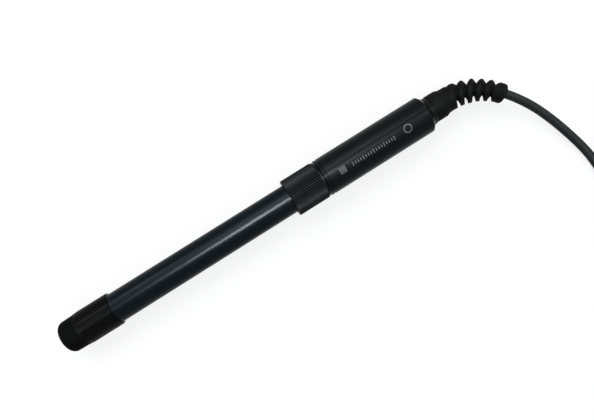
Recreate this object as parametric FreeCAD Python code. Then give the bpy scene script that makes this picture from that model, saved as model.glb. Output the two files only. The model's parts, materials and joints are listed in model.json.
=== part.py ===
import FreeCAD, Part
import math
import os
from FreeCAD import Vector

# A redox electrode with a replaceable sensor cartridge, a plug-in head, a fixed cable and a storage cap.
# It lies on its side on the floor plane z = 0, with its axis along X and the cable leaving towards +X.
# The origin is under the middle of the electrode, from the cap's tip to the rear bushing.
# Millimetres throughout.

os.makedirs("parts", exist_ok=True)

# Lengths along the axis, from the cap's tip to the rear of the head
CAP_LENGTH = 30.0
SHAFT_VISIBLE = 106.8
NUT_LENGTH = 19.5
NUT_GAP = 0.7
HEAD_LENGTH = 66.9
BOSS_LENGTH = 3.0

# Sensor cartridge
SHAFT_R = 8.1
SHAFT_NECK_R = 7.7
SHAFT_BORE_R = 5.5
NOSE_R = 7.1
NOSE_LENGTH = 18.0
NOSE_EDGE = 0.6
FLANGE_R = 8.9
FLANGE_WIDTH = 2.0
SPIGOT_R = 6.4
SPIGOT_BORE_R = 4.4
SPIGOT_SHORT_OF_HEAD = 3.0
PLUG_LENGTH = 7.0
PLUG_DOME = 1.6
STEM_R = 2.4
STEM_PROUD = 0.4
DISC_R = 1.5
DISC_THICKNESS = 0.6
LEAD_R = 0.4
JUNCTION_R = 0.8
JUNCTION_OFFSET = 3.9
GEL_LENGTH = 102.0
SILVER_R = 0.3
PELLET_R = 1.1
PELLET_LENGTH = 8.0
SILVER_FREE_LENGTH = 26.0
STOPPER_LENGTH = 8.0
STOPPER_ROOM = 8.7
STEM_BEHIND_STOPPER = 3.0
CARRIER_LENGTH = 7.0
PIN_R = 0.5
PIN_CIRCLE_R = 3.0
PIN_COUNT = 4
PIN_PROUD = 3.0
PIN_TAIL = 1.0

# Seal rings
RING_SECTION_R = 0.6
NOSE_RING_FROM_MOUTH = 6.0
SPIGOT_RING_FROM_END = 3.0

# Storage cap
CAP_TIP_R = 8.6
CAP_PLAIN_R = 8.7
CAP_RIB_R = 9.1
CAP_RIB_COUNT = 30
CAP_RIB_TOP_SHARE = 0.42
CAP_RIB_FOOT_SHARE = 0.62
CAP_RUN_OUT_START = 8.8
CAP_RUN_OUT_LENGTH = 4.0
CAP_CORNER_R = 3.5
CAP_CROWN = 0.5
CAP_MOUTH_EDGE = 0.4
CAP_FLOOR = 2.5
CAP_CHAMBER_R = 6.9
CAP_SEAT_DEPTH = 1.0

# Coupling nut
NUT_R = 10.5
KNURL_DEPTH = 0.4
KNURL_COUNT = 52
KNURL_TOP_SHARE = 0.24
NUT_FRONT_EDGE = 0.3
NUT_NECK_R = 10.05
NUT_NECK_LENGTH = 0.9
NUT_LIP = 2.8
NUT_BORE_R = 9.25
CLIP_WIDTH = 1.0
CLIP_INNER_R = 7.4
CLIP_GROOVE_R = 9.7
CLIP_SLOT = 2.4

# Head
HEAD_R = 10.5
HEAD_EDGE = 0.25
HEAD_CHAMFER_AXIAL = 1.9
HEAD_END_R = 8.6
BEAD_WIDTH = 1.3
BEAD_GROOVE_WIDTH = 0.55
BEAD_GROOVE_DEPTH = 0.35
HEAD_NOSE_LENGTH = 11.5
HEAD_NOSE_R = 8.95
HEAD_NOSE_EDGE = 0.5
HEAD_NOSE_NECK_R = 8.4
HEAD_NOSE_NECK = 1.2
HEAD_NOSE_BORE_R = 6.7
HEAD_NOSE_BORE_DEPTH = 6.0
HEAD_BORE_R = 7.2
INSERT_GAP = 0.3
INSERT_FLANGE = 5.0
CONTACT_R = 0.9
CONTACT_HOLE_DEPTH = 5.0
BOARD_WIDTH = 13.0
BOARD_THICKNESS = 1.2
BOARD_TO_TAIL = 2.9
BOARD_SLOT_DEPTH = 3.0
CHIP_LENGTHS = (7.0, 6.0, 3.0)
CHIP_WIDTHS = (7.0, 5.0, 4.0)
CHIP_HEIGHTS = (1.2, 1.0, 1.6)
CHIP_START_SHARES = (0.29, 0.57, 0.79)
LOWER_CHIP_HEIGHT = 1.0

# Rear bushing with the cable clamp
BOSS_R = 8.3
BOSS_END_R = 7.55
BUSHING_LENGTH = 17.0
BUSHING_BORE_R = 5.2
CLAMP_SEAT_R = 4.2
CLAMP_SEAT_FROM_END = 9.9
CLAMP_LENGTH = 5.0
GROMMET_LENGTH = 2.5
REAR_RING_FROM_END = 8.0
TAIL_LENGTH = 13.0
CONDUCTOR_R = 0.45
CONDUCTOR_LENGTH = 7.0
CONDUCTOR_PITCH = 2.1

# Bend relief: a collar, a straight sleeve, then a bent sleeve cut by grooves into ribs
RELIEF_COLLAR_R = 7.75
RELIEF_COLLAR_LENGTH = 6.4
RELIEF_COLLAR_EDGE = 0.5
RELIEF_STEP_R = 7.1
RELIEF_STEP_END = 8.2
RELIEF_BEND_START = 10.1
RELIEF_BEND_R = 38.5
RELIEF_BEND_DEG = 50.0
RELIEF_SLEEVE_R = 6.65
RELIEF_SLEEVE_DEG = 9.0
RELIEF_GROOVE_DEG = 2.6
RELIEF_RIB_DEG = 4.9
RELIEF_RIB_RADII = (6.5, 6.25, 6.0, 5.75)
RELIEF_END_R = 5.4
RELIEF_RIB_EDGE = 0.7
RELIEF_CORE_R = 4.3
RELIEF_CORE_OUTWARD = 0.8
RELIEF_DROOP_DEG = 6.8

# Cable, its coil and its tie
CABLE_R = 2.5
COIL_TURNS_PER_LAYER = 3.75
COIL_INNER_R = 18.1
COIL_EDGE = 1.4
COIL_X = 218.7
COIL_Y = -96.3
TIE_THICKNESS = 0.9
TIE_WIDTH = 12.0
TIE_ANGLE = -45.0

# Cable plug
PLUG_X = 251.22
PLUG_Y = -67.41
PLUG_HEADING = 104.0
GRIP_LENGTH = 30.0
GRIP_R = 6.3
GRIP_NECK_R = 4.0
GRIP_NECK_LENGTH = 9.0
GRIP_RIB_COUNT = 7
GRIP_RIB_DEPTH = 0.5
GRIP_RIB_MARGIN = 2.0
GRIP_EDGE = 0.6
LOCK_RING_R = 7.25
LOCK_RING_LENGTH = 13.5
LOCK_RING_BORE_R = 5.6
LOCK_RING_LIP = 2.0
LOCK_RING_EDGE = 0.5
LOCK_KNURL_COUNT = 24
STUB_R = 4.6
STUB_FLANGE_R = 5.3
STUB_FLANGE = 1.5
CONNECTOR_INSERT_R = 4.2
CONNECTOR_INSERT_LENGTH = 8.0
CONNECTOR_PIN_CIRCLE_R = 2.5
CONNECTOR_PIN_PROUD = 5.0

# Clearances
SLIDE_GAP = 0.3
RUNNING_GAP = 0.1
RING_GAP = 0.05
END_GAP = 0.1
PIN_GAP = 0.08
CABLE_HOLE_GAP = 0.1

# Stations along the axis
TOTAL_LENGTH = CAP_LENGTH + SHAFT_VISIBLE + NUT_LENGTH + NUT_GAP + HEAD_LENGTH + BOSS_LENGTH
AXIS_Z = max(HEAD_R, NUT_R)
X_TIP = -TOTAL_LENGTH / 2
X_MOUTH = X_TIP + CAP_LENGTH
X_NOSE = X_MOUTH - NOSE_LENGTH
X_NUT = X_MOUTH + SHAFT_VISIBLE
X_NUT_END = X_NUT + NUT_LENGTH
X_HEAD = X_NUT_END + NUT_GAP
X_HEAD_END = X_HEAD + HEAD_LENGTH
X_BOSS_END = X_HEAD_END + BOSS_LENGTH
X_FLANGE = X_NUT + NUT_LIP + END_GAP
X_FLANGE_END = X_FLANGE + FLANGE_WIDTH
X_NECK = X_NUT - END_GAP
X_SPIGOT_END = X_HEAD - SPIGOT_SHORT_OF_HEAD
X_PLUG_BACK = X_NOSE + PLUG_LENGTH
X_GEL_END = X_PLUG_BACK + GEL_LENGTH
X_STEM_FRONT = X_NOSE - PLUG_DOME - STEM_PROUD
X_STEM_END = X_GEL_END + STOPPER_LENGTH + STEM_BEHIND_STOPPER
X_BORE_STEP = X_GEL_END + STOPPER_LENGTH + STOPPER_ROOM
X_CARRIER = X_SPIGOT_END - CARRIER_LENGTH
CAP_BORE_R = NOSE_R + SLIDE_GAP + RING_GAP
X_BUSHING = X_HEAD_END - BUSHING_LENGTH
X_CLAMP_SEAT = X_BOSS_END - CLAMP_SEAT_FROM_END
X_BOARD = X_HEAD + HEAD_NOSE_BORE_DEPTH + INSERT_FLANGE - BOARD_SLOT_DEPTH
X_TAIL = X_BOSS_END - TAIL_LENGTH
X_BOARD_END = X_TAIL - BOARD_TO_TAIL
X_CONDUCTORS = X_TAIL - CONDUCTOR_LENGTH

# The cable's route from the rear bushing to the coil, in the part's frame
ROUTE = (
    (X_BOSS_END, 0.0, AXIS_Z),
    (120.6, 0.0, 10.5),
    (127.75, 0.0, 10.45),
    (136.0, -1.85, 10.25),
    (143.65, -5.4, 9.85),
    (150.35, -10.5, 9.25),
    (156.45, -17.6, 8.4),
    (162.15, -24.7, 7.5),
    (167.15, -32.3, 6.4),
    (172.15, -42.2, 5.1),
    (176.55, -53.0, 4.0),
    (180.35, -65.5, 3.1),
    (181.5, -76.2, 2.8),
    (181.55, -86.9, 2.95),
    (181.87, -97.59, 3.4),
)

# The short stretch from the coil's top layer to the cable plug
LEAD_ROUTE = (
    (255.53, -95.01, 8.4),
    (255.1, -88.02, 8.35),
    (254.25, -81.07, 8.05),
    (252.91, -74.2, 7.6),
    (PLUG_X, PLUG_Y, LOCK_RING_R),
)

X_AXIS = Vector(1, 0, 0)


def place(x, r=0.0, angle=0.0):
    """A point at a distance r from the electrode's axis."""
    return Vector(x, r * math.cos(angle), AXIS_Z + r * math.sin(angle))


def turned(profile):
    """A solid turned about the electrode's axis from (x, r) corners."""
    corners = [Vector(x, r, 0) for x, r in profile]
    face = Part.Face(Part.makePolygon(corners + corners[:1]))
    solid = face.revolve(Vector(0, 0, 0), X_AXIS, 360)
    solid.translate(Vector(0, 0, AXIS_Z))
    return solid


def disc(x0, x1, r_out, r_in=0.0, offset=0.0, angle=0.0):
    """A round bar or tube along X between two stations."""
    centre = place(x0, offset, angle)
    bar = Part.makeCylinder(r_out, x1 - x0, centre, X_AXIS)
    if r_in > 0:
        bar = bar.cut(Part.makeCylinder(r_in, x1 - x0, centre, X_AXIS))
    return bar


def ring(x, r_centre, r_section=RING_SECTION_R):
    """A round seal ring about the axis."""
    return Part.makeTorus(r_centre, r_section, place(x), X_AXIS)


def box(x0, x1, y0, y1, z0, z1):
    """A box between two corners, with z measured from the electrode's axis."""
    return Part.makeBox(x1 - x0, y1 - y0, z1 - z0, Vector(x0, y0, AXIS_Z + z0))


def fluted(x0, x1, r_out, r_in, count, top_share, foot_share=1.0):
    """A prism along X whose section is a ring of straight-sided teeth."""
    corners = []
    pitch = 2 * math.pi / count
    for k in range(count):
        middle = k * pitch
        corners.append(place(x0, r_out, middle - top_share * pitch / 2))
        corners.append(place(x0, r_out, middle + top_share * pitch / 2))
        corners.append(place(x0, r_in, middle + foot_share * pitch / 2))
        if foot_share < 1:
            corners.append(place(x0, r_in, middle + pitch - foot_share * pitch / 2))
    face = Part.Face(Part.makePolygon(corners + corners[:1]))
    return face.extrude(Vector(x1 - x0, 0, 0))


def pin_angles(count):
    """Angles of pins spread evenly, starting between the axes."""
    return [2 * math.pi * (k + 0.5) / count for k in range(count)]


def round_path(points, name):
    """Straight runs joined by tangent arcs, as large as the runs beside each point allow."""
    corners = [Vector(*p) for p in points]
    edges = []
    radii = []
    here = corners[0]
    for before, corner, after in zip(corners, corners[1:], corners[2:]):
        into = (corner - before).normalize()
        away = (after - corner).normalize()
        half = into.getAngle(away) / 2
        reach = 0.45 * min((corner - before).Length, (after - corner).Length)
        radius = reach / math.tan(half)
        start = corner - into * reach
        end = corner + away * reach
        inward = (away - into).normalize()
        middle = corner + inward * (radius / math.cos(half) - radius)
        edges.append(Part.LineSegment(here, start).toShape())
        edges.append(Part.Arc(start, middle, end).toShape())
        radii.append(round(radius, 1))
        here = end
    edges.append(Part.LineSegment(here, corners[-1]).toShape())
    print(name, "arc radii", radii)
    return Part.Wire(edges)


def tube(path, r):
    """A round tube along a path of runs and arcs."""
    start = path.Edges[0].valueAt(path.Edges[0].FirstParameter)
    heading = path.Edges[0].tangentAt(path.Edges[0].FirstParameter)
    section = Part.Wire([Part.makeCircle(r, start, heading)])
    return path.makePipeShell([section], True, False)


def save(name, shape):
    """Write one sub-part, and say what it is."""
    shape = shape.removeSplitter() if len(shape.Solids) == 1 else shape
    print(name, "valid" if shape.isValid() else "NOT VALID", len(shape.Solids), round(shape.Volume, 1))
    shape.exportStep("parts/" + name + ".step")


def electrode_shaft():
    """The cartridge's body: nose, shaft, a neck and a flange under the nut, and spigot."""
    body = turned([
        (X_NOSE, SHAFT_BORE_R), (X_NOSE, NOSE_R - NOSE_EDGE), (X_NOSE + NOSE_EDGE, NOSE_R),
        (X_MOUTH, NOSE_R), (X_MOUTH, SHAFT_R), (X_NECK, SHAFT_R), (X_NECK, SHAFT_NECK_R),
        (X_FLANGE, SHAFT_NECK_R), (X_FLANGE, FLANGE_R),
        (X_FLANGE_END, FLANGE_R), (X_FLANGE_END, SPIGOT_R), (X_SPIGOT_END, SPIGOT_R),
        (X_SPIGOT_END, SPIGOT_BORE_R), (X_BORE_STEP, SPIGOT_BORE_R), (X_BORE_STEP, SHAFT_BORE_R),
    ])
    for groove_x, outer in ((x_nose_ring(), NOSE_R), (x_spigot_ring(), SPIGOT_R)):
        bottom = ring_centre_r(outer) - RING_SECTION_R
        body = body.cut(disc(groove_x - RING_SECTION_R, groove_x + RING_SECTION_R, outer + 1, bottom))
    return body


def x_nose_ring():
    """Where the cap's seal ring sits on the nose."""
    return X_MOUTH - NOSE_RING_FROM_MOUTH


def x_spigot_ring():
    """Where the seal ring sits on the spigot."""
    return X_SPIGOT_END - SPIGOT_RING_FROM_END


def ring_centre_r(outer):
    """The centre radius of a seal ring that all but reaches the bore around it."""
    return outer + SLIDE_GAP - RING_SECTION_R


def tip_plug():
    """The moulded plug that closes the nose, with a low dome."""
    rim = Vector(X_NOSE, SHAFT_BORE_R, 0)
    crown = Vector(X_NOSE - PLUG_DOME, 0, 0)
    sphere_r = (SHAFT_BORE_R ** 2 + PLUG_DOME ** 2) / (2 * PLUG_DOME)
    part_way = math.asin(SHAFT_BORE_R / sphere_r) / 2
    middle_x = X_NOSE - PLUG_DOME + sphere_r * (1 - math.cos(part_way))
    middle = Vector(middle_x, sphere_r * math.sin(part_way), 0)
    edges = [
        Part.Arc(crown, middle, rim).toShape(),
        Part.LineSegment(rim, Vector(X_PLUG_BACK, SHAFT_BORE_R, 0)).toShape(),
        Part.LineSegment(Vector(X_PLUG_BACK, SHAFT_BORE_R, 0), Vector(X_PLUG_BACK, 0, 0)).toShape(),
        Part.LineSegment(Vector(X_PLUG_BACK, 0, 0), crown).toShape(),
    ]
    plug = Part.Face(Part.Wire(edges)).revolve(Vector(0, 0, 0), X_AXIS, 360)
    plug.translate(Vector(0, 0, AXIS_Z))
    plug = plug.cut(disc(X_STEM_FRONT, X_PLUG_BACK, STEM_R))
    return plug.cut(disc(X_STEM_FRONT, X_PLUG_BACK, JUNCTION_R, 0, JUNCTION_OFFSET, math.pi / 2))


def ceramic_junction():
    """The porous rod through the plug, flush with its dome."""
    rod = disc(X_NOSE - PLUG_DOME, X_PLUG_BACK, JUNCTION_R, 0, JUNCTION_OFFSET, math.pi / 2)
    sphere_r = (SHAFT_BORE_R ** 2 + PLUG_DOME ** 2) / (2 * PLUG_DOME)
    dome = Part.makeSphere(sphere_r, place(X_NOSE - PLUG_DOME + sphere_r))
    back = disc(X_NOSE, X_PLUG_BACK, SHAFT_BORE_R)
    return rod.common(dome.fuse(back))


def glass_stem():
    """The glass tube that carries the platinum disc and its lead."""
    stem = disc(X_STEM_FRONT, X_STEM_END, STEM_R, LEAD_R)
    return stem.cut(disc(X_STEM_FRONT, X_STEM_FRONT + DISC_THICKNESS, DISC_R))


def platinum_disc():
    return disc(X_STEM_FRONT, X_STEM_FRONT + DISC_THICKNESS, DISC_R)


def platinum_lead():
    return disc(X_STEM_FRONT + DISC_THICKNESS, X_CARRIER, LEAD_R)


def silver_wire():
    """The reference wire, from the pellet through the stopper to the contact carrier."""
    return disc(X_GEL_END - SILVER_FREE_LENGTH, X_CARRIER, SILVER_R, 0, JUNCTION_OFFSET, 0)


def silver_chloride_pellet():
    x1 = X_GEL_END - SILVER_FREE_LENGTH
    return disc(x1 - PELLET_LENGTH, x1, PELLET_R, 0, JUNCTION_OFFSET, 0)


def electrolyte_gel():
    """The gel that fills the shaft round the stem and the reference."""
    gel = disc(X_PLUG_BACK, X_GEL_END, SHAFT_BORE_R, STEM_R)
    x1 = X_GEL_END - SILVER_FREE_LENGTH
    gel = gel.cut(disc(x1 - PELLET_LENGTH, x1, PELLET_R, 0, JUNCTION_OFFSET, 0))
    return gel.cut(disc(x1, X_GEL_END, SILVER_R, 0, JUNCTION_OFFSET, 0))


def rear_stopper():
    """The rubber stopper behind the gel."""
    stopper = disc(X_GEL_END, X_GEL_END + STOPPER_LENGTH, SHAFT_BORE_R, STEM_R)
    return stopper.cut(disc(X_GEL_END, X_GEL_END + STOPPER_LENGTH, SILVER_R, 0, JUNCTION_OFFSET, 0))


def contact_carrier():
    """The insulator in the spigot that holds the contact pins."""
    carrier = disc(X_CARRIER, X_SPIGOT_END, SPIGOT_BORE_R)
    for angle in pin_angles(PIN_COUNT):
        carrier = carrier.cut(disc(X_CARRIER, X_SPIGOT_END, PIN_R, 0, PIN_CIRCLE_R, angle))
    return carrier


def contact_pins():
    pins = []
    for angle in pin_angles(PIN_COUNT):
        pins.append(disc(X_CARRIER - PIN_TAIL, X_SPIGOT_END + PIN_PROUD, PIN_R, 0, PIN_CIRCLE_R, angle))
    return Part.makeCompound(pins)


def storage_cap():
    """The push-on cap: crowned end, plain band, run-out and a ring of grip ribs up to the mouth."""
    corner = Vector(X_TIP + CAP_CROWN, CAP_TIP_R - CAP_CORNER_R, 0)
    side = Vector(X_TIP + CAP_CROWN + CAP_CORNER_R, CAP_TIP_R, 0)
    bend = Vector(
        X_TIP + CAP_CROWN + CAP_CORNER_R * (1 - math.cos(math.pi / 4)),
        CAP_TIP_R - CAP_CORNER_R * (1 - math.sin(math.pi / 4)), 0)
    x_rise = X_TIP + CAP_RUN_OUT_START
    x_full = x_rise + CAP_RUN_OUT_LENGTH
    x_floor = X_TIP + CAP_FLOOR
    x_seat = X_NOSE - CAP_SEAT_DEPTH
    outline = [
        Vector(x_rise, CAP_PLAIN_R, 0), Vector(x_rise, 0, 0), Vector(X_TIP, 0, 0), corner,
    ]
    edges = [Part.Arc(corner, bend, side).toShape(), Part.LineSegment(side, outline[0]).toShape()]
    edges += [Part.LineSegment(a, b).toShape() for a, b in zip(outline, outline[1:])]
    front = Part.Face(Part.Wire(edges)).revolve(Vector(0, 0, 0), X_AXIS, 360)
    front.translate(Vector(0, 0, AXIS_Z))
    ribbed = fluted(
        x_rise, X_MOUTH, CAP_RIB_R, CAP_PLAIN_R, CAP_RIB_COUNT, CAP_RIB_TOP_SHARE, CAP_RIB_FOOT_SHARE)
    ends = turned([
        (x_rise, 0), (x_rise, CAP_PLAIN_R), (x_full, CAP_RIB_R), (X_MOUTH - CAP_MOUTH_EDGE, CAP_RIB_R),
        (X_MOUTH, CAP_RIB_R - CAP_MOUTH_EDGE), (X_MOUTH, 0),
    ])
    inside = turned([
        (X_MOUTH, 0), (X_MOUTH, CAP_BORE_R), (x_seat, CAP_BORE_R), (x_seat, CAP_CHAMBER_R),
        (x_floor, CAP_CHAMBER_R), (x_floor, 0),
    ])
    return front.fuse(ribbed.common(ends)).cut(inside)


def coupling_nut():
    """The knurled nut: a lip behind the cartridge's flange, a clip groove, and the threaded bore."""
    x_clip = x_retaining_clip()
    blank = turned([
        (X_NUT, SHAFT_NECK_R + RUNNING_GAP), (X_NUT, NUT_R - NUT_FRONT_EDGE),
        (X_NUT + NUT_FRONT_EDGE, NUT_R), (X_NUT_END - NUT_NECK_LENGTH - KNURL_DEPTH, NUT_R),
        (X_NUT_END - NUT_NECK_LENGTH, NUT_NECK_R),
        (X_NUT_END, NUT_NECK_R), (X_NUT_END, NUT_BORE_R), (x_clip + CLIP_WIDTH, NUT_BORE_R),
        (x_clip + CLIP_WIDTH, CLIP_GROOVE_R), (x_clip, CLIP_GROOVE_R), (x_clip, NUT_BORE_R),
        (X_NUT + NUT_LIP, NUT_BORE_R), (X_NUT + NUT_LIP, SHAFT_NECK_R + RUNNING_GAP),
    ])
    knurl = fluted(X_NUT, X_NUT_END, NUT_R, NUT_R - KNURL_DEPTH, KNURL_COUNT, KNURL_TOP_SHARE)
    return blank.common(knurl)


def x_retaining_clip():
    """Where the clip's groove starts, just behind the flange."""
    return X_FLANGE_END + END_GAP


def retaining_clip():
    """The split clip inside the nut that pulls the flange out with it."""
    x0 = x_retaining_clip()
    clip = disc(x0, x0 + CLIP_WIDTH, CLIP_GROOVE_R, CLIP_INNER_R)
    half = CLIP_SLOT / 2
    slot = box(x0 - 1, x0 + CLIP_WIDTH + 1, -half, half, CLIP_INNER_R - 1, CLIP_GROOVE_R + 1)
    return clip.cut(slot)


def head_housing():
    """The head's shell: threaded nose, bead with its groove, long barrel and chamfered end."""
    x_nose = X_HEAD - HEAD_NOSE_LENGTH
    x_groove = X_HEAD + BEAD_WIDTH
    x_barrel = x_groove + BEAD_GROOVE_WIDTH
    x_step = X_HEAD + HEAD_NOSE_BORE_DEPTH
    return turned([
        (x_nose, HEAD_NOSE_BORE_R), (x_nose, HEAD_NOSE_R - HEAD_NOSE_EDGE),
        (x_nose + HEAD_NOSE_EDGE, HEAD_NOSE_R),
        (X_HEAD - HEAD_NOSE_NECK, HEAD_NOSE_R), (X_HEAD - HEAD_NOSE_NECK, HEAD_NOSE_NECK_R),
        (X_HEAD, HEAD_NOSE_NECK_R), (X_HEAD, HEAD_R - HEAD_EDGE), (X_HEAD + HEAD_EDGE, HEAD_R),
        (x_groove - HEAD_EDGE, HEAD_R), (x_groove, HEAD_R - BEAD_GROOVE_DEPTH),
        (x_barrel, HEAD_R - BEAD_GROOVE_DEPTH), (x_barrel + HEAD_EDGE, HEAD_R),
        (X_HEAD_END - HEAD_CHAMFER_AXIAL, HEAD_R), (X_HEAD_END, HEAD_END_R), (X_HEAD_END, HEAD_BORE_R),
        (x_step, HEAD_BORE_R), (x_step, HEAD_NOSE_BORE_R),
    ])


def socket_insert():
    """The insulator in the head's nose, with the sockets and a slot for the circuit board."""
    x0 = X_SPIGOT_END + INSERT_GAP
    x_step = X_HEAD + HEAD_NOSE_BORE_DEPTH
    x1 = x_step + INSERT_FLANGE
    insert = turned([
        (x0, 0), (x0, HEAD_NOSE_BORE_R), (x_step, HEAD_NOSE_BORE_R), (x_step, HEAD_BORE_R),
        (x1, HEAD_BORE_R), (x1, 0),
    ])
    for angle in pin_angles(PIN_COUNT):
        insert = insert.cut(disc(x0, x1, CONTACT_R, 0, PIN_CIRCLE_R, angle))
    return insert.cut(board_blank())


def socket_contacts():
    """The tube contacts that take the cartridge's pins."""
    x0 = X_SPIGOT_END + INSERT_GAP
    x1 = X_HEAD + HEAD_NOSE_BORE_DEPTH + INSERT_FLANGE
    contacts = []
    for angle in pin_angles(PIN_COUNT):
        contact = disc(x0, x1, CONTACT_R, 0, PIN_CIRCLE_R, angle)
        hole = disc(x0, x0 + CONTACT_HOLE_DEPTH, PIN_R + PIN_GAP, 0, PIN_CIRCLE_R, angle)
        contacts.append(contact.cut(hole))
    return Part.makeCompound(contacts)


def board_blank():
    """The circuit board's outline, which also cuts the slots that hold it."""
    half_width = BOARD_WIDTH / 2
    half_thickness = BOARD_THICKNESS / 2
    return box(X_BOARD, X_BOARD_END, -half_width, half_width, -half_thickness, half_thickness)


def board_chips():
    """The parts on the board's upper and lower sides."""
    chips = []
    stations = [X_BOARD + share * (X_CONDUCTORS - X_BOARD) for share in CHIP_START_SHARES]
    top = BOARD_THICKNESS / 2
    for x0, length, width, height in zip(stations, CHIP_LENGTHS, CHIP_WIDTHS, CHIP_HEIGHTS):
        chips.append(box(x0, x0 + length, -width / 2, width / 2, top, top + height))
    x0 = stations[0]
    half = CHIP_WIDTHS[1] / 2
    chips.append(box(x0, x0 + CHIP_LENGTHS[1], -half, half, -top - LOWER_CHIP_HEIGHT, -top))
    return Part.makeCompound(chips)


def rear_bushing():
    """The bushing that closes the head and clamps the cable, with the cone that shows behind it."""
    x_ring = X_BOSS_END - REAR_RING_FROM_END
    groove_r = HEAD_BORE_R - 2 * RING_SECTION_R
    x_seat_end = X_CLAMP_SEAT + CLAMP_LENGTH + GROMMET_LENGTH
    cable_hole = CABLE_R + CABLE_HOLE_GAP
    bushing = turned([
        (X_BUSHING, BUSHING_BORE_R), (X_BUSHING, HEAD_BORE_R),
        (x_ring - RING_SECTION_R, HEAD_BORE_R), (x_ring - RING_SECTION_R, groove_r),
        (x_ring + RING_SECTION_R, groove_r), (x_ring + RING_SECTION_R, HEAD_BORE_R),
        (X_HEAD_END, HEAD_BORE_R), (X_HEAD_END, BOSS_R), (X_BOSS_END, BOSS_END_R),
        (X_BOSS_END, cable_hole), (x_seat_end, cable_hole), (x_seat_end, CLAMP_SEAT_R),
        (X_CLAMP_SEAT, CLAMP_SEAT_R), (X_CLAMP_SEAT, BUSHING_BORE_R),
    ])
    return bushing.cut(board_blank())


def rear_seal_ring():
    return ring(X_BOSS_END - REAR_RING_FROM_END, HEAD_BORE_R - RING_SECTION_R)


def clamp_ferrule():
    return disc(X_CLAMP_SEAT, X_CLAMP_SEAT + CLAMP_LENGTH, CLAMP_SEAT_R, CABLE_R)


def cable_grommet():
    x0 = X_CLAMP_SEAT + CLAMP_LENGTH
    return disc(x0, x0 + GROMMET_LENGTH, CLAMP_SEAT_R, CABLE_R)


def cable_tail():
    """The cable's end inside the head."""
    return disc(X_TAIL, X_BOSS_END, CABLE_R)


def conductors():
    """The cable's cores, laid on both sides of the board's rear end."""
    wires = []
    for side in (-1, 1):
        for row in (-1, 1):
            z = AXIS_Z + side * (BOARD_THICKNESS / 2 + CONDUCTOR_R)
            start = Vector(X_CONDUCTORS, row * CONDUCTOR_PITCH / 2, z)
            wires.append(Part.makeCylinder(CONDUCTOR_R, CONDUCTOR_LENGTH, start, X_AXIS))
    return Part.makeCompound(wires)


def bent_sector(deg0, deg1, r, outward=0.0):
    """A stretch of round bar bent about the relief's bend axis, between two angles."""
    x0 = X_BOSS_END + RELIEF_BEND_START
    section = Part.Face(Part.Wire([Part.makeCircle(r, Vector(x0, outward, 0), X_AXIS)]))
    pivot = Vector(x0, -RELIEF_BEND_R, 0)
    section.rotate(pivot, Vector(0, 0, 1), -deg0)
    bar = section.revolve(pivot, Vector(0, 0, -1), deg1 - deg0)
    bar.rotate(Vector(0, 0, 0), X_AXIS, RELIEF_DROOP_DEG)
    bar.translate(Vector(0, 0, AXIS_Z))
    return bar


def eased(solid, width):
    """The solid with the rims of its two end faces chamfered."""
    rims = [e for f in solid.Faces if isinstance(f.Surface, Part.Plane) for e in f.Edges]
    return solid.makeChamfer(width, rims)


def bend_relief(cable_path):
    """The moulded relief: collar, straight sleeve, and a bent sleeve with ribs that thin towards the end."""
    x0 = X_BOSS_END
    relief = turned([
        (x0, 0), (x0, BOSS_END_R), (x0 + RELIEF_COLLAR_EDGE, RELIEF_COLLAR_R),
        (x0 + RELIEF_COLLAR_LENGTH, RELIEF_COLLAR_R), (x0 + RELIEF_STEP_END, RELIEF_STEP_R),
        (x0 + RELIEF_BEND_START, RELIEF_SLEEVE_R), (x0 + RELIEF_BEND_START, 0),
    ])
    relief = relief.fuse(bent_sector(0, RELIEF_SLEEVE_DEG, RELIEF_SLEEVE_R))
    relief = relief.fuse(bent_sector(0, RELIEF_BEND_DEG - 2, RELIEF_CORE_R, RELIEF_CORE_OUTWARD))
    start = RELIEF_SLEEVE_DEG + RELIEF_GROOVE_DEG
    for rib_r in RELIEF_RIB_RADII:
        relief = relief.fuse(eased(bent_sector(start, start + RELIEF_RIB_DEG, rib_r), RELIEF_RIB_EDGE))
        start += RELIEF_RIB_DEG + RELIEF_GROOVE_DEG
    relief = relief.fuse(eased(bent_sector(start, RELIEF_BEND_DEG, RELIEF_END_R), RELIEF_RIB_EDGE))
    return relief.cut(tube(cable_path, CABLE_R + CABLE_HOLE_GAP))


def coil_section():
    """Inner and outer radius and height of the wound coil, on its floor level."""
    outer = COIL_INNER_R + COIL_TURNS_PER_LAYER * 2 * CABLE_R
    return COIL_INNER_R - CABLE_R, outer + CABLE_R, TIE_THICKNESS, TIE_THICKNESS + 4 * CABLE_R


def cable_coil():
    """The outer shape of the wound cable: two layers of turns."""
    inner, outer, low, high = coil_section()
    height = high - low
    base = Vector(COIL_X, COIL_Y, low)
    coil = Part.makeCylinder(outer, height, base).cut(Part.makeCylinder(inner, height, base))
    return coil.makeChamfer(COIL_EDGE, [e for e in coil.Edges if e.Closed])


def coil_tie():
    """The strap round the coil's section."""
    inner, outer, low, high = coil_section()
    t = TIE_THICKNESS
    half = TIE_WIDTH / 2
    corner = Vector(inner - t, -half, low - t)
    strap = Part.makeBox(outer - inner + 2 * t, TIE_WIDTH, high - low + 2 * t, corner)
    strap = strap.makeChamfer(COIL_EDGE + t / 2, [e for e in strap.Edges if abs(e.tangentAt(0).y) > 0.9])
    strap.translate(Vector(COIL_X, COIL_Y, 0))
    strap = strap.cut(cable_coil())
    strap = max(strap.Solids, key=lambda s: s.BoundBox.ZLength)
    strap.rotate(Vector(COIL_X, COIL_Y, 0), Vector(0, 0, 1), TIE_ANGLE)
    return strap


def in_plug_frame(shape):
    """Move a shape from the plug's own frame, whose +X points along it, to where the plug lies."""
    shape.rotate(Vector(0, 0, 0), Vector(0, 0, 1), PLUG_HEADING)
    shape.translate(Vector(PLUG_X, PLUG_Y, LOCK_RING_R))
    return shape


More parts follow.
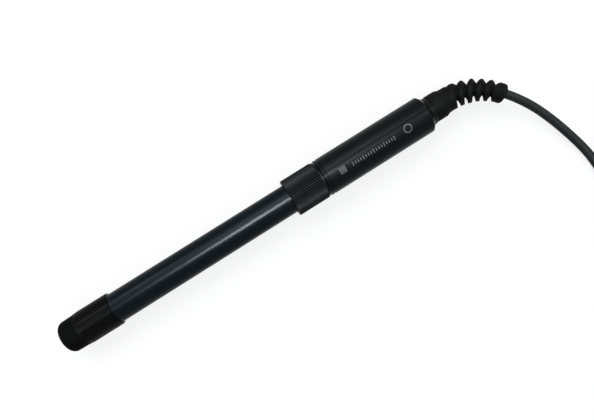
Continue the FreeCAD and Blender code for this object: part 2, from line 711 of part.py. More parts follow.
def plug_turned(profile):
    """A solid turned about the plug's own axis."""
    corners = [Vector(x, r, 0) for x, r in profile]
    return Part.Face(Part.makePolygon(corners + corners[:1])).revolve(Vector(0, 0, 0), X_AXIS, 360)


def stub_end():
    """Where the grip's stub ends, inside the lock ring."""
    return GRIP_LENGTH + END_GAP + LOCK_RING_LIP + END_GAP + STUB_FLANGE


def plug_grip():
    """The moulded grip, which tapers to the cable and ends in a stub that carries the lock ring."""
    x1 = GRIP_LENGTH
    x_flange = x1 + END_GAP + LOCK_RING_LIP + END_GAP
    grip = plug_turned([
        (0, 0), (0, GRIP_NECK_R), (GRIP_NECK_LENGTH, GRIP_R), (x1 - GRIP_EDGE, GRIP_R),
        (x1, GRIP_R - GRIP_EDGE), (x1, STUB_R), (x_flange, STUB_R), (x_flange, STUB_FLANGE_R),
        (stub_end(), STUB_FLANGE_R), (stub_end(), 0),
    ])
    pitch = (x1 - GRIP_NECK_LENGTH - 2 * GRIP_RIB_MARGIN) / GRIP_RIB_COUNT
    for k in range(GRIP_RIB_COUNT):
        start = Vector(GRIP_NECK_LENGTH + GRIP_RIB_MARGIN + (k + 0.25) * pitch, 0, 0)
        groove = Part.makeCylinder(GRIP_R + 1, pitch / 2, start, X_AXIS)
        groove = groove.cut(Part.makeCylinder(GRIP_R - GRIP_RIB_DEPTH, pitch / 2, start, X_AXIS))
        grip = grip.cut(groove)
    return in_plug_frame(grip)


def plug_lock_ring():
    """The knurled ring that turns on the stub."""
    x0 = GRIP_LENGTH + END_GAP
    x1 = x0 + LOCK_RING_LENGTH
    lock = plug_turned([
        (x0, STUB_R + RUNNING_GAP), (x0, LOCK_RING_R - LOCK_RING_EDGE), (x0 + LOCK_RING_EDGE, LOCK_RING_R),
        (x1 - LOCK_RING_EDGE, LOCK_RING_R), (x1, LOCK_RING_R - LOCK_RING_EDGE), (x1, LOCK_RING_BORE_R),
        (x0 + LOCK_RING_LIP, LOCK_RING_BORE_R), (x0 + LOCK_RING_LIP, STUB_R + RUNNING_GAP),
    ])
    knurl = fluted(x0, x1, LOCK_RING_R, LOCK_RING_R - KNURL_DEPTH, LOCK_KNURL_COUNT, CAP_RIB_TOP_SHARE,
                   CAP_RIB_FOOT_SHARE)
    knurl.translate(Vector(0, 0, -AXIS_Z))
    return in_plug_frame(lock.common(knurl))


def plug_insert():
    """The insulator in front of the stub that carries the plug's pins."""
    insert = Part.makeCylinder(CONNECTOR_INSERT_R, CONNECTOR_INSERT_LENGTH - CONNECTOR_PIN_PROUD,
                               Vector(stub_end(), 0, 0), X_AXIS)
    for angle in pin_angles(PIN_COUNT):
        insert = insert.cut(plug_pin(angle, stub_end(), stub_end() + CONNECTOR_INSERT_LENGTH))
    return in_plug_frame(insert)


def plug_pin(angle, x0, x1):
    """One pin in the plug's own frame."""
    y = CONNECTOR_PIN_CIRCLE_R * math.cos(angle)
    z = CONNECTOR_PIN_CIRCLE_R * math.sin(angle)
    return Part.makeCylinder(PIN_R, x1 - x0, Vector(x0, y, z), X_AXIS)


def plug_pins():
    x0 = stub_end()
    angles = pin_angles(PIN_COUNT)
    pins = [plug_pin(angle, x0, x0 + CONNECTOR_INSERT_LENGTH) for angle in angles]
    return in_plug_frame(Part.makeCompound(pins))


def main():
    route = round_path(ROUTE, "cable_run")
    lead = round_path(LEAD_ROUTE, "cable_lead")
    save("electrode_shaft", electrode_shaft())
    save("tip_plug", tip_plug())
    save("ceramic_junction", ceramic_junction())
    save("glass_stem", glass_stem())
    save("platinum_disc", platinum_disc())
    save("platinum_lead", platinum_lead())
    save("silver_wire", silver_wire())
    save("silver_chloride_pellet", silver_chloride_pellet())
    save("electrolyte_gel", electrolyte_gel())
    save("rear_stopper", rear_stopper())
    save("contact_carrier", contact_carrier())
    save("contact_pins", contact_pins())
    save("nose_seal_ring", ring(x_nose_ring(), ring_centre_r(NOSE_R)))
    save("spigot_seal_ring", ring(x_spigot_ring(), ring_centre_r(SPIGOT_R)))
    save("storage_cap", storage_cap())
    save("coupling_nut", coupling_nut())
    save("retaining_clip", retaining_clip())
    save("head_housing", head_housing())
    save("socket_insert", socket_insert())
    save("socket_contacts", socket_contacts())
    save("circuit_board", board_blank())
    save("board_chips", board_chips())
    save("rear_bushing", rear_bushing())
    save("rear_seal_ring", rear_seal_ring())
    save("clamp_ferrule", clamp_ferrule())
    save("cable_grommet", cable_grommet())
    save("cable_tail", cable_tail())
    save("conductors", conductors())
    save("bend_relief", bend_relief(route))
    save("cable_run", tube(route, CABLE_R))
    save("cable_coil", cable_coil())
    save("coil_tie", coil_tie())
    save("cable_lead", tube(lead, CABLE_R))
    save("plug_grip", plug_grip())
    save("plug_lock_ring", plug_lock_ring())
    save("plug_insert", plug_insert())
    save("plug_pins", plug_pins())
    section = math.pi * CABLE_R ** 2
    print("section times length", round(section * route.Length, 1), round(section * lead.Length, 1))


main()
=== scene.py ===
"""Looks of the redox electrode: camera, cable, bend relief, printed marks, materials and light."""
import json
import math

import bpy
from mathutils import Euler, Matrix, Vector

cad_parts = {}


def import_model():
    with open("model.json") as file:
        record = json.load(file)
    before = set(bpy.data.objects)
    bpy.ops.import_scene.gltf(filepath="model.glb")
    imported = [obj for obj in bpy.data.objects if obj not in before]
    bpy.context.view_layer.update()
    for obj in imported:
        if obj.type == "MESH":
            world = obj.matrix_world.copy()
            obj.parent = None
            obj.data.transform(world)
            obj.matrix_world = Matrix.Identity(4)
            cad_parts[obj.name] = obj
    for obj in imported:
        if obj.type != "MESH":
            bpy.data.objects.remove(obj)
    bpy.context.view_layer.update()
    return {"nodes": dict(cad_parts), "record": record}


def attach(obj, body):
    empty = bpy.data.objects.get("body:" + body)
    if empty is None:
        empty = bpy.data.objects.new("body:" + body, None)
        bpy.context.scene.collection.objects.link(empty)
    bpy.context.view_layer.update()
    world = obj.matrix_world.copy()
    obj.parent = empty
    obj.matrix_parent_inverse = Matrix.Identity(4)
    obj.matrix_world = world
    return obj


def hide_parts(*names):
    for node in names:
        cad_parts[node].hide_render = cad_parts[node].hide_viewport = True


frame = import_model()
nodes = frame["nodes"]

MM = 0.001
AXIS_Z = 0.0105
HEAD_R = 0.0105
BOSS_END_X = 0.11345
CABLE_R = 0.0025
CAP_RIB_START_X = -0.1025
OUTER_IOR = 1.15
MATT_IOR = 1.11
JACKET_IOR = 1.2
PLASTIC_IOR = 1.45
GLASS_IOR = 1.47


# Camera
# The place and turn were worked out from the outline's widths along the axis and the bulge of its circles.
# A small turn after that lines up the outline across the axis.
CAMERA_PLACE = (0.00405, -0.00758, 0.28995)
CAMERA_LOOK = Vector((0.0673095, 0.0, -0.9977321))
CAMERA_ALONG = Vector((0.9977305, -0.0018086, 0.0673094))
CAMERA_ACROSS = Vector((-0.0018045, -0.9999984, -0.0001217))
CAMERA_TURN = Euler((0.00207, 0.0, 0.00148))
PICTURE_SLOPE_COS = 0.84631502
PICTURE_SLOPE_SIN = 0.53268273
SENSOR_WIDTH = 36.0
LENS = 31.98
NEAR_CLIP = 0.01


def photo_camera():
    right = (PICTURE_SLOPE_COS * CAMERA_ALONG + PICTURE_SLOPE_SIN * CAMERA_ACROSS).normalized()
    up = (PICTURE_SLOPE_SIN * CAMERA_ALONG - PICTURE_SLOPE_COS * CAMERA_ACROSS).normalized()
    data = bpy.data.cameras.new("photo_camera")
    data.sensor_width = SENSOR_WIDTH
    data.lens = LENS
    data.clip_start = NEAR_CLIP
    camera = bpy.data.objects.new("photo_camera", data)
    turn = Matrix((right, up, -CAMERA_LOOK)).transposed() @ CAMERA_TURN.to_matrix()
    camera.matrix_world = Matrix.Translation(CAMERA_PLACE) @ turn.to_4x4()
    bpy.context.scene.collection.objects.link(camera)
    bpy.context.scene.camera = camera


# Cable
# The route runs from the rear bushing through the relief and out of the view, as the photograph shows.
ROUTE = (
    (BOSS_END_X, 0.0, AXIS_Z), (0.1206, 0.0001, 0.0105), (0.1278, 0.0002, 0.01045),
    (0.1361, -0.0015, 0.01025),
    (0.1440, -0.0048, 0.00985), (0.1510, -0.0098, 0.00925), (0.15755, -0.0169, 0.0084),
    (0.1630, -0.0242, 0.0075), (0.16775, -0.03195, 0.0064), (0.1725, -0.0420, 0.0051),
    (0.17665, -0.0530, 0.0040), (0.18035, -0.0655, 0.0031), (0.1815, -0.0762, 0.0028),
    (0.18155, -0.0869, 0.00295), (0.18187, -0.09759, 0.0034),
)
LEAD_ROUTE = (
    (0.25553, -0.09501, 0.0084), (0.2551, -0.08802, 0.00835), (0.25425, -0.08107, 0.00805),
    (0.25291, -0.0742, 0.0076), (0.25122, -0.06741, 0.00725),
)
COIL_CENTRE = (0.2187, -0.0963)
COIL_INNER_R = 0.0181
COIL_TURNS = 3.75
COIL_LOW_Z = 0.0034
COIL_START_DEG = -178.0
POINTS_PER_TURN = 20
COIL_RISE_TURNS = 0.25
CURVE_SHARE = 0.75
CURVE_STEPS = 6


def coil_points():
    """Two layers of turns: inwards on the floor, then outwards on top of them."""
    pitch = 2 * CABLE_R
    count = int(COIL_TURNS * POINTS_PER_TURN)
    outer = COIL_INNER_R + COIL_TURNS * pitch
    # A curve point counts for this share of the curve beside it, and its two neighbours for the rest.
    swell = 1 / (CURVE_SHARE + (1 - CURVE_SHARE) * math.cos(2 * math.pi / POINTS_PER_TURN))
    points = []
    for k in range(1, 2 * count):
        turns = k / POINTS_PER_TURN
        r = outer - pitch * turns if k <= count else COIL_INNER_R + pitch * (turns - COIL_TURNS)
        rise = min(max((k - count) / (COIL_RISE_TURNS * POINTS_PER_TURN) + 0.5, 0.0), 1.0)
        z = COIL_LOW_Z + pitch * rise * rise * (3 - 2 * rise)
        angle = math.radians(COIL_START_DEG) + 2 * math.pi * turns
        x = COIL_CENTRE[0] + swell * r * math.cos(angle)
        y = COIL_CENTRE[1] + swell * r * math.sin(angle)
        points.append((x, y, z))
    return points


def nurbs_curve(name, points, bevel):
    data = bpy.data.curves.new(name, "CURVE")
    data.dimensions = "3D"
    data.resolution_u = CURVE_STEPS
    spline = data.splines.new("NURBS")
    spline.points.add(len(points) - 1)
    for point, place in zip(spline.points, points):
        point.co = (*place, 1.0)
        point.radius = bevel
    spline.order_u = 3
    spline.use_endpoint_u = True
    data.bevel_depth = 1.0
    data.bevel_resolution = CURVE_STEPS
    data.use_fill_caps = True
    curve = bpy.data.objects.new(name, data)
    bpy.context.scene.collection.objects.link(curve)
    return curve


def smooth_mesh(name, verts, faces, body):
    mesh = bpy.data.meshes.new(name)
    mesh.from_pydata([tuple(v) for v in verts], [], faces)
    mesh.validate()
    for polygon in mesh.polygons:
        polygon.use_smooth = True
    piece = bpy.data.objects.new(name, mesh)
    bpy.context.scene.collection.objects.link(piece)
    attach(piece, body)
    return piece


# Bend relief
# One moulded sleeve: a collar, a straight sleeve, then ribs that thin towards the end round a bend.
RELIEF_STRAIGHT = 10.6
RELIEF_SIDE = 0.25
RELIEF_BEND_R = 38.5
RELIEF_BEND_DEG = 50.0
RELIEF_DROOP_DEG = 6.8
RELIEF_FIRST_GROOVE_DEG = 10.0
RELIEF_PITCH_DEG = 7.75
RELIEF_SKEW_DEG = 1.95
RELIEF_LEAN_DEG = 4.0
RELIEF_SLEEVE = (
    (0.0, 2.7), (0.0, 7.4), (0.12, 7.6), (0.5, 7.75), (2.0, 7.75), (4.0, 7.75), (6.0, 7.75), (6.4, 7.73),
    (6.8, 7.6), (7.6, 7.26), (8.2, 7.08), (9.2, 6.9), (10.6, 6.85),
)
RELIEF_RIB_RADII = (6.85, 6.6, 6.5, 6.1, 5.85, 5.5)
RELIEF_OUTER_FLOOR_R = 3.0
RELIEF_INNER_FLOOR_R = 2.4
RELIEF_BORE_R = 2.2
RELIEF_TOOTH_SHARE = 0.45
RELIEF_GAP_SHARE = 0.17
RELIEF_END_ROUND_DEG = 1.3
RELIEF_END_ROUND = 0.9
RELIEF_SIDE_DEPTH = 0.6
RELIEF_FIRST_DEPTH = 0.5
RELIEF_SHALLOW_DEPTH = 0.5
RELIEF_SHALLOW_CELL = -0.95
RELIEF_SHALLOW_SLOPE = 4
RELIEF_LAST_CELL = len(RELIEF_RIB_RADII) - 2
RELIEF_AROUND = 72
STEPS_PER_RIB = 32
BORE_STRIDE = 8


def relief_radius(deg, angle):
    """Radius of the ribbed sleeve: rounded crests outside the bend, teeth with V notches inside it."""
    inner = 0.5 - 0.5 * math.cos(angle)
    shift = RELIEF_SKEW_DEG * math.cos(angle) - RELIEF_LEAN_DEG * math.sin(angle)
    cell = (deg - shift - RELIEF_FIRST_GROOVE_DEG) / RELIEF_PITCH_DEG
    index = min(max(math.floor(cell), -1), RELIEF_LAST_CELL)
    rib_r = RELIEF_RIB_RADII[index + 1]
    away = abs(2 * (cell - index) - 1)
    if cell < -0.5 or cell > RELIEF_LAST_CELL + 0.5:
        away = 0
    crest = 1 - away ** 2
    tooth = min(max((1 - RELIEF_GAP_SHARE - away) / (1 - RELIEF_GAP_SHARE - RELIEF_TOOTH_SHARE), 0), 1)
    shape = (1 - inner) * crest + inner * tooth
    depth = rib_r - RELIEF_OUTER_FLOOR_R - inner * (RELIEF_INNER_FLOOR_R - RELIEF_OUTER_FLOOR_R)
    depth *= RELIEF_SIDE_DEPTH + (1 - RELIEF_SIDE_DEPTH) * math.cos(angle) ** 2
    if cell < 0.5:
        depth *= RELIEF_FIRST_DEPTH + (1 - RELIEF_FIRST_DEPTH) * inner
    fade = max(0, 1 - abs(cell - RELIEF_SHALLOW_CELL) * RELIEF_SHALLOW_SLOPE)
    shallow = RELIEF_SHALLOW_DEPTH * (1 - inner) * fade
    past = max(0, deg - RELIEF_BEND_DEG + RELIEF_END_ROUND_DEG) / RELIEF_END_ROUND_DEG
    end = RELIEF_END_ROUND * (1 - math.sqrt(1 - min(past, 1) ** 2))
    return rib_r - depth * (1 - shape) - shallow - end


def relief_piece():
    """The collar and the ribbed sleeve, swept round the bend and closed along the bore."""
    verts, faces = [], []
    droop = Matrix.Rotation(math.radians(RELIEF_DROOP_DEG), 4, "X")
    stations = [(x, r, None) for x, r in RELIEF_SLEEVE]
    steps = int(RELIEF_BEND_DEG / RELIEF_PITCH_DEG * STEPS_PER_RIB)
    stations += [(RELIEF_STRAIGHT, 0, RELIEF_BEND_DEG * k / steps) for k in range(1, steps + 1)]
    bore = [(x0, RELIEF_BORE_R, deg) for x0, r, deg in stations[:0:-BORE_STRIDE] + stations[:1]]
    stations += bore
    for x0, plain_r, deg in stations:
        turned = math.radians(deg or 0.0)
        x = x0 + RELIEF_BEND_R * math.sin(turned)
        y = RELIEF_SIDE - RELIEF_BEND_R * (1 - math.cos(turned))
        out = Vector((math.sin(turned), math.cos(turned), 0))
        for j in range(RELIEF_AROUND):
            angle = 2 * math.pi * j / RELIEF_AROUND
            r = plain_r or relief_radius(deg, angle)
            place = Vector((x, y, 0)) + out * (r * math.cos(angle)) + Vector((0, 0, r * math.sin(angle)))
            verts.append(droop @ place * MM + Vector((BOSS_END_X, 0, AXIS_Z)))
    for i in range(len(stations)):
        this, following = i * RELIEF_AROUND, (i + 1) % len(stations) * RELIEF_AROUND
        for j in range(RELIEF_AROUND):
            k = (j + 1) % RELIEF_AROUND
            faces.append((this + j, this + k, following + k, following + j))
    piece = smooth_mesh("bend_relief_sleeve", verts, faces, "head")
    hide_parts("bend_relief")
    return piece


# Printed marks
# Generic pale marks stand where the photograph shows print: an alignment square, a plain scale and a ring.
# Lengths are in millimetres, along the axis or round the head's barrel.
PRINT_R = HEAD_R + 0.00002
PATCH_STEPS = 4
MARKS_ARC = 2.4
BAR_COUNT = 5
BAR_START_X = 51.9
BAR_PITCH = 0.78
BAR_WIDTH = 0.42
BAR_ABOVE = 1.95
BAR_BELOW = 1.75
TICK_COUNT = 17
TICK_START_X = 59.6
TICK_PITCH = 1.6
TICK_WIDTH = 0.5
TICK_HALF = 0.75
LONG_TICK_HALF = 1.15
LONG_TICK_EVERY = 4
RING_X = 94.2
RING_ARC = MARKS_ARC - 0.5
RING_RADII = (1.85, 2.35)
RING_STEPS = 48


def head_point(x_mm, arc_mm):
    """A point on the head's barrel: x along the axis, arc from the top towards the camera's lower side."""
    angle = arc_mm * MM / HEAD_R
    return Vector((x_mm * MM, -PRINT_R * math.sin(angle), AXIS_Z + PRINT_R * math.cos(angle)))


def patch(verts, faces, x0, x1, arc0, arc1):
    base = len(verts)
    for k in range(PATCH_STEPS + 1):
        arc = arc0 + (arc1 - arc0) * k / PATCH_STEPS
        verts.append(head_point(x0, arc))
        verts.append(head_point(x1, arc))
    for k in range(PATCH_STEPS):
        a = base + 2 * k
        faces.append((a, a + 1, a + 3, a + 2))


def ring(verts, faces):
    base = len(verts)
    for k in range(RING_STEPS):
        turned = 2 * math.pi * k / RING_STEPS
        for r in RING_RADII:
            verts.append(head_point(RING_X + r * math.cos(turned), RING_ARC + r * math.sin(turned)))
    for k in range(RING_STEPS):
        a, b = base + 2 * k, base + 2 * ((k + 1) % RING_STEPS)
        faces.append((a, a + 1, b + 1, b))


def printed_marks():
    verts, faces = [], []
    for k in range(BAR_COUNT):
        x = BAR_START_X + BAR_PITCH * k
        patch(verts, faces, x, x + BAR_WIDTH, MARKS_ARC - BAR_ABOVE, MARKS_ARC + BAR_BELOW)
    for k in range(TICK_COUNT):
        x = TICK_START_X + TICK_PITCH * k
        half = LONG_TICK_HALF if k % LONG_TICK_EVERY == 0 else TICK_HALF
        patch(verts, faces, x, x + TICK_WIDTH, MARKS_ARC - half, MARKS_ARC + half)
    ring(verts, faces)
    piece = smooth_mesh("head_marks", verts, faces, "head")
    return piece


# Materials
def new_material(name):
    material = bpy.data.materials.new(name)
    material.use_nodes = True
    tree = material.node_tree
    return material, tree, tree.nodes["Principled BSDF"]


def node(tree, kind, **inputs):
    made = tree.nodes.new(kind)
    for key, value in inputs.items():
        made.inputs[key.replace("_", " ")].default_value = value
    return made


def noise(tree, scale, detail=4.0, rough=0.55, stretch=None):
    """Noise in the part's own frame, in features per metre."""
    place = tree.nodes.new("ShaderNodeTexCoord")
    mapping = tree.nodes.new("ShaderNodeMapping")
    mapping.inputs["Scale"].default_value = stretch or (1, 1, 1)
    tree.links.new(place.outputs["Object"], mapping.inputs["Vector"])
    made = node(tree, "ShaderNodeTexNoise", Scale=scale, Detail=detail, Roughness=rough)
    tree.links.new(mapping.outputs["Vector"], made.inputs["Vector"])
    return made


def surface(name, low, high, rough, spec, grain, bump, metallic=0.0, stretch=None, tint_scale=60.0,
            ior=PLASTIC_IOR):
    """A surface whose colour drifts between two tones, with a fine grain in its gloss and relief."""
    material, tree, shader = new_material(name)
    tone = noise(tree, tint_scale, 5.0, 0.6, stretch)
    ramp = tree.nodes.new("ShaderNodeValToRGB")
    ramp.color_ramp.elements[0].position = 0.35
    ramp.color_ramp.elements[1].position = 0.68
    ramp.color_ramp.elements[0].color = (*low, 1)
    ramp.color_ramp.elements[1].color = (*high, 1)
    tree.links.new(tone.outputs["Fac"], ramp.inputs["Fac"])
    tree.links.new(ramp.outputs["Color"], shader.inputs["Base Color"])
    fine = noise(tree, grain, 3.0, 0.6, stretch)
    gloss = tree.nodes.new("ShaderNodeMapRange")
    gloss.inputs["To Min"].default_value = rough[0]
    gloss.inputs["To Max"].default_value = rough[1]
    tree.links.new(fine.outputs["Fac"], gloss.inputs["Value"])
    tree.links.new(gloss.outputs["Result"], shader.inputs["Roughness"])
    if bump:
        relief = node(tree, "ShaderNodeBump", Strength=bump[0], Distance=bump[1])
        tree.links.new(fine.outputs["Fac"], relief.inputs["Height"])
        tree.links.new(relief.outputs["Normal"], shader.inputs["Normal"])
    shader.inputs["Specular IOR Level"].default_value = spec
    shader.inputs["Metallic"].default_value = metallic
    shader.inputs["IOR"].default_value = ior
    return material


def glass_like(name, colour, rough):
    material, tree, shader = new_material(name)
    fine = noise(tree, 900, 2.0)
    gloss = tree.nodes.new("ShaderNodeMapRange")
    gloss.inputs["To Min"].default_value = rough
    gloss.inputs["To Max"].default_value = rough + 0.03
    tree.links.new(fine.outputs["Fac"], gloss.inputs["Value"])
    tree.links.new(gloss.outputs["Result"], shader.inputs["Roughness"])
    shader.inputs["Base Color"].default_value = (*colour, 1)
    shader.inputs["Transmission Weight"].default_value = 1.0
    shader.inputs["IOR"].default_value = GLASS_IOR
    return material


def grey(value, blue=0.0):
    return (value, value + 0.3 * blue, value + blue)


def cap_plastic():
    """Matt soft plastic, a little polished by handling where the grip ribs are."""
    material = surface(
        "cap_plastic", grey(0.0022), grey(0.0038), (0.0, 1.0), 0.5, 3000, (0.25, 5e-5), tint_scale=80,
        ior=OUTER_IOR)
    tree = material.node_tree
    shader = tree.nodes["Principled BSDF"]
    gloss = shader.inputs["Roughness"].links[0].from_node
    place = tree.nodes.new("ShaderNodeTexCoord")
    split = tree.nodes.new("ShaderNodeSeparateXYZ")
    ribbed = node(
        tree, "ShaderNodeMapRange", From_Min=CAP_RIB_START_X - MM, From_Max=CAP_RIB_START_X + MM)
    shine = shader.inputs["Specular IOR Level"]
    shares = (
        (gloss.inputs["To Min"], 0.62, 0.19),
        (gloss.inputs["To Max"], 0.74, 0.25),
        (shine, 0.15, 0.4),
    )
    for socket, plain, worn in shares:
        level = node(tree, "ShaderNodeMapRange", To_Min=plain, To_Max=worn)
        tree.links.new(ribbed.outputs["Result"], level.inputs["Value"])
        tree.links.new(level.outputs["Result"], socket)
    tree.links.new(place.outputs["Object"], split.inputs["Vector"])
    tree.links.new(split.outputs["X"], ribbed.inputs["Value"])
    return material


MATERIALS = {
    "shaft_plastic": lambda: surface(
        "shaft_plastic", (0.0012, 0.0056, 0.0090), (0.0020, 0.0080, 0.0128), (0.20, 0.27), 0.5, 5200,
        (0.05, 2e-5), tint_scale=45, ior=OUTER_IOR),
    "head_plastic": lambda: surface(
        "head_plastic", (0.0022, 0.0032, 0.0045), (0.0036, 0.0048, 0.0062), (0.22, 0.30), 0.5, 4200,
        (0.05, 2e-5), tint_scale=50, ior=OUTER_IOR),
    "nut_plastic": lambda: surface(
        "nut_plastic", (0.0045, 0.0058, 0.0070), (0.0065, 0.0080, 0.0095), (0.34, 0.46), 0.4, 3500,
        (0.12, 3e-5), ior=OUTER_IOR),
    "cap_plastic": cap_plastic,
    "bushing_plastic": lambda: surface(
        "bushing_plastic", grey(0.005), grey(0.0075), (0.36, 0.46), 0.4, 3200, (0.15, 4e-5), ior=OUTER_IOR),
    "relief_rubber": lambda: surface(
        "relief_rubber", grey(0.0055), grey(0.0095), (0.52, 0.68), 0.4, 3000, (0.25, 6e-5), tint_scale=120,
        ior=MATT_IOR),
    "cable_jacket": lambda: surface(
        "cable_jacket", (0.0085, 0.0095, 0.0108), (0.0120, 0.0130, 0.0145), (0.40, 0.52), 0.5, 3600,
        (0.2, 4e-5), ior=JACKET_IOR),
    "grip_plastic": lambda: surface(
        "grip_plastic", grey(0.011), grey(0.016), (0.48, 0.60), 0.22, 3000, (0.25, 5e-5)),
    "lock_metal": lambda: surface(
        "lock_metal", grey(0.40), grey(0.47), (0.16, 0.24), 0.5, 2600, (0.05, 2e-5), metallic=1.0,
        stretch=(1, 0.2, 1)),
    "plug_plastic": lambda: surface(
        "plug_plastic", grey(0.045, 0.004), grey(0.065, 0.004), (0.42, 0.52), 0.35, 3000, (0.1, 4e-5)),
    "junction_ceramic": lambda: surface(
        "junction_ceramic", (0.70, 0.68, 0.62), (0.84, 0.82, 0.77), (0.75, 0.90), 0.3, 6000, (0.5, 8e-5)),
    "stem_glass": lambda: glass_like("stem_glass", (0.86, 0.90, 0.91), 0.03),
    "platinum": lambda: surface(
        "platinum", (0.66, 0.65, 0.63), (0.76, 0.75, 0.73), (0.10, 0.18), 0.5, 5000, None, metallic=1.0),
    "silver": lambda: surface(
        "silver", (0.70, 0.70, 0.70), (0.84, 0.84, 0.84), (0.20, 0.30), 0.5, 4000, None, metallic=1.0,
        stretch=(0.1, 1, 1)),
    "silver_chloride": lambda: surface(
        "silver_chloride", (0.26, 0.24, 0.27), (0.37, 0.35, 0.38), (0.70, 0.85), 0.3, 4000, (0.4, 6e-5)),
    "gel": lambda: surface("gel", (0.54, 0.56, 0.54), (0.64, 0.66, 0.64), (0.18, 0.28), 0.5, 700, None),
    "seal_rubber": lambda: surface(
        "seal_rubber", grey(0.008), grey(0.013), (0.40, 0.52), 0.3, 3500, (0.15, 4e-5)),
    "clip_steel": lambda: surface(
        "clip_steel", grey(0.48), grey(0.58), (0.24, 0.34), 0.5, 3000, None, metallic=1.0),
    "contact_metal": lambda: surface(
        "contact_metal", (0.72, 0.54, 0.22), (0.84, 0.66, 0.32), (0.16, 0.26), 0.5, 3600, None,
        metallic=1.0),
    "board": lambda: surface(
        "board", (0.02, 0.13, 0.055), (0.035, 0.19, 0.085), (0.30, 0.42), 0.5, 1800, (0.1, 3e-5)),
    "chip_plastic": lambda: surface(
        "chip_plastic", grey(0.015), grey(0.024), (0.50, 0.62), 0.4, 4000, (0.2, 3e-5)),
    "core_insulation": lambda: surface(
        "core_insulation", (0.50, 0.50, 0.46), (0.60, 0.60, 0.56), (0.36, 0.46), 0.5, 2500, (0.1, 3e-5)),
}


def strap_weave():
    """Woven strap: two crossed bands give the threads."""
    material, tree, shader = new_material("tie_fabric")
    place = tree.nodes.new("ShaderNodeTexCoord")
    heights = []
    for direction in ("X", "Y"):
        wave = tree.nodes.new("ShaderNodeTexWave")
        wave.bands_direction = direction
        wave.inputs["Scale"].default_value = 420
        wave.inputs["Distortion"].default_value = 0.4
        tree.links.new(place.outputs["Object"], wave.inputs["Vector"])
        heights.append(wave)
    both = tree.nodes.new("ShaderNodeMath")
    both.operation = "MULTIPLY"
    for k, wave in enumerate(heights):
        tree.links.new(wave.outputs["Fac"], both.inputs[k])
    ramp = tree.nodes.new("ShaderNodeValToRGB")
    ramp.color_ramp.elements[0].color = (0.010, 0.010, 0.010, 1)
    ramp.color_ramp.elements[1].color = (0.030, 0.030, 0.031, 1)
    tree.links.new(both.outputs["Value"], ramp.inputs["Fac"])
    tree.links.new(ramp.outputs["Color"], shader.inputs["Base Color"])
    relief = node(tree, "ShaderNodeBump", Strength=0.6, Distance=1.5e-4)
    tree.links.new(both.outputs["Value"], relief.inputs["Height"])
    tree.links.new(relief.outputs["Normal"], shader.inputs["Normal"])
    shader.inputs["Roughness"].default_value = 0.85
    shader.inputs["Sheen Weight"].default_value = 0.1
    return material


def mark_ink():
    """Pale print, slightly worn."""
    material, tree, shader = new_material("mark_ink")
    worn = noise(tree, 2600, 4.0, 0.7)
    ramp = tree.nodes.new("ShaderNodeValToRGB")
    ramp.color_ramp.elements[0].position = 0.32
    ramp.color_ramp.elements[1].position = 0.55
    ramp.color_ramp.elements[0].color = (0.07, 0.075, 0.08, 1)
    ramp.color_ramp.elements[1].color = (0.22, 0.23, 0.24, 1)
    tree.links.new(worn.outputs["Fac"], ramp.inputs["Fac"])
    tree.links.new(ramp.outputs["Color"], shader.inputs["Base Color"])
    shader.inputs["Roughness"].default_value = 0.6
    shader.inputs["Specular IOR Level"].default_value = 0.2
    return material


def dress(piece, material):
    piece.data.materials.clear()
    piece.data.materials.append(material)


# Floor and light
# Levels are in the units in which white paper at a plain level is 1.
FLOOR_HALF = 6.0
FLOOR_Z = -0.0002
FLOOR_TONE = 0.32
FLOOR_GLOW = 0.79
WORLD_SEEN = 1.0
WORLD_UNSEEN = 0.45
WHITE = (1, 1, 1)
COOL = (0.86, 0.95, 1.0)
SOFT_COOL = (0.88, 0.95, 1.0)
BLUE_WHITE = (0.86, 0.95, 1.05)
# Panels that only reflections see: name, place, target, width, height, brightness and colour.
GLINTS = (
    ("glint", (0.0, 0.005, 1.02), (0.02, -0.02, 0), 0.24, 0.26, 104, SOFT_COOL),
    ("glint_wide", (0.0, 0.45, 0.95), (0.02, 0, 0), 0.34, 0.45, 7, (0.86, 0.94, 1.0)),
    ("glint_left", (-0.22, 0.065, 1.02), (-0.05, 0, 0), 0.18, 0.26, 9.5, SOFT_COOL),
    ("glint_right", (0.26, 0.05, 1.02), (0.06, 0, 0), 0.16, 0.26, 9, BLUE_WHITE),
    ("glint_low", (0.28, -0.36, 1.0), (0.06, 0, 0), 0.24, 0.24, 5.5, BLUE_WHITE),
    ("glint_head", (0.36, 0.60, 0.95), (0.06, 0, 0), 0.30, 0.18, 8, COOL),
    ("glint_cap", (-0.45, 1.15, 1.0), (-0.09, 0, 0), 0.16, 0.30, 12, WHITE),
)


def floor():
    """A plain white floor that keeps the shadow."""
    mesh = bpy.data.meshes.new("floor")
    signs = ((-1, -1), (1, -1), (1, 1), (-1, 1))
    corners = [(x * FLOOR_HALF, y * FLOOR_HALF, 0) for x, y in signs]
    mesh.from_pydata(corners, [], [(0, 1, 2, 3)])
    plane = bpy.data.objects.new("floor", mesh)
    plane.location = (0, 0, FLOOR_Z)
    bpy.context.scene.collection.objects.link(plane)
    material = bpy.data.materials.new("floor_white")
    material.use_nodes = True
    tree = material.node_tree
    tree.nodes.clear()
    out = tree.nodes.new("ShaderNodeOutputMaterial")
    plain = tree.nodes.new("ShaderNodeBsdfDiffuse")
    plain.inputs["Color"].default_value = (FLOOR_TONE, FLOOR_TONE, FLOOR_TONE, 1)
    glow = tree.nodes.new("ShaderNodeEmission")
    seen = seen_rays(tree, FLOOR_GLOW)
    tree.links.new(seen, glow.inputs["Strength"])
    both = tree.nodes.new("ShaderNodeAddShader")
    tree.links.new(plain.outputs[0], both.inputs[0])
    tree.links.new(glow.outputs[0], both.inputs[1])
    tree.links.new(both.outputs[0], out.inputs["Surface"])
    plane.data.materials.append(material)


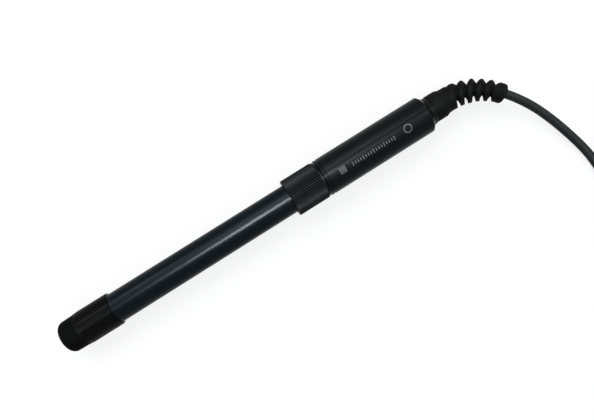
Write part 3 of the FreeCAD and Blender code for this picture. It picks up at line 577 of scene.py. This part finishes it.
def seen_rays(tree, strength, unseen=0.0):
    """One strength for camera, glossy and transmission rays, and another for the rest."""
    path = tree.nodes.new("ShaderNodeLightPath")
    first = tree.nodes.new("ShaderNodeMath")
    first.operation = "MAXIMUM"
    tree.links.new(path.outputs["Is Camera Ray"], first.inputs[0])
    tree.links.new(path.outputs["Is Glossy Ray"], first.inputs[1])
    second = tree.nodes.new("ShaderNodeMath")
    second.operation = "MAXIMUM"
    tree.links.new(first.outputs[0], second.inputs[0])
    tree.links.new(path.outputs["Is Transmission Ray"], second.inputs[1])
    scaled = node(tree, "ShaderNodeMapRange", To_Min=unseen, To_Max=strength)
    tree.links.new(second.outputs[0], scaled.inputs["Value"])
    return scaled.outputs["Result"]


def area_light(name, place, target, width, height, brightness, colour=WHITE, gloss_only=False):
    """A soft panel that lights the part, or that only its reflections see."""
    data = bpy.data.lights.new(name, "AREA")
    data.shape = "RECTANGLE"
    data.size = width
    data.size_y = height
    data.energy = brightness * math.pi * width * height
    data.color = colour
    lamp = bpy.data.objects.new(name, data)
    lamp.location = place
    lamp.rotation_euler = (Vector(target) - Vector(place)).to_track_quat("-Z", "Y").to_euler()
    lamp.visible_camera = False
    lamp.visible_diffuse = not gloss_only
    bpy.context.scene.collection.objects.link(lamp)


def world():
    made = bpy.data.worlds.new("studio")
    made.use_nodes = True
    tree = made.node_tree
    back = tree.nodes["Background"]
    back.inputs["Color"].default_value = (*WHITE, 1)
    tree.links.new(seen_rays(tree, WORLD_SEEN, WORLD_UNSEEN), back.inputs["Strength"])
    bpy.context.scene.world = made


def lights():
    area_light("soft_key", (-0.1, 0.95, 1.15), (0, 0, 0), 1.3, 0.9, 2.4)
    area_light("soft_fill", (0.3, -0.8, 1.3), (0, 0, 0), 0.9, 0.9, 0.6, (0.80, 0.94, 1.0))
    for glint in GLINTS:
        area_light(*glint, gloss_only=True)
    for side in (-1, 1):
        area_light("glint_end", (side, 0.0, 1.1), (0, 0, 0), 0.35, 0.9, 10, gloss_only=True)


# Making
photo_camera()
cable = nurbs_curve("cable", [*ROUTE, *coil_points(), *LEAD_ROUTE], CABLE_R)
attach(cable, "head")
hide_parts("cable_run", "cable_coil", "cable_lead")
relief = relief_piece()
marks = printed_marks()

made = {name: build() for name, build in MATERIALS.items()}
made["tie_fabric"] = strap_weave()
for part in frame["record"]["subparts"]:
    dress(nodes[part["node"]], made[part["material_slot"]])
dress(cable, made["cable_jacket"])
dress(relief, made["relief_rubber"])
dress(marks, mark_ink())

floor()
lights()
world()
bpy.context.scene.view_settings.view_transform = "Standard"
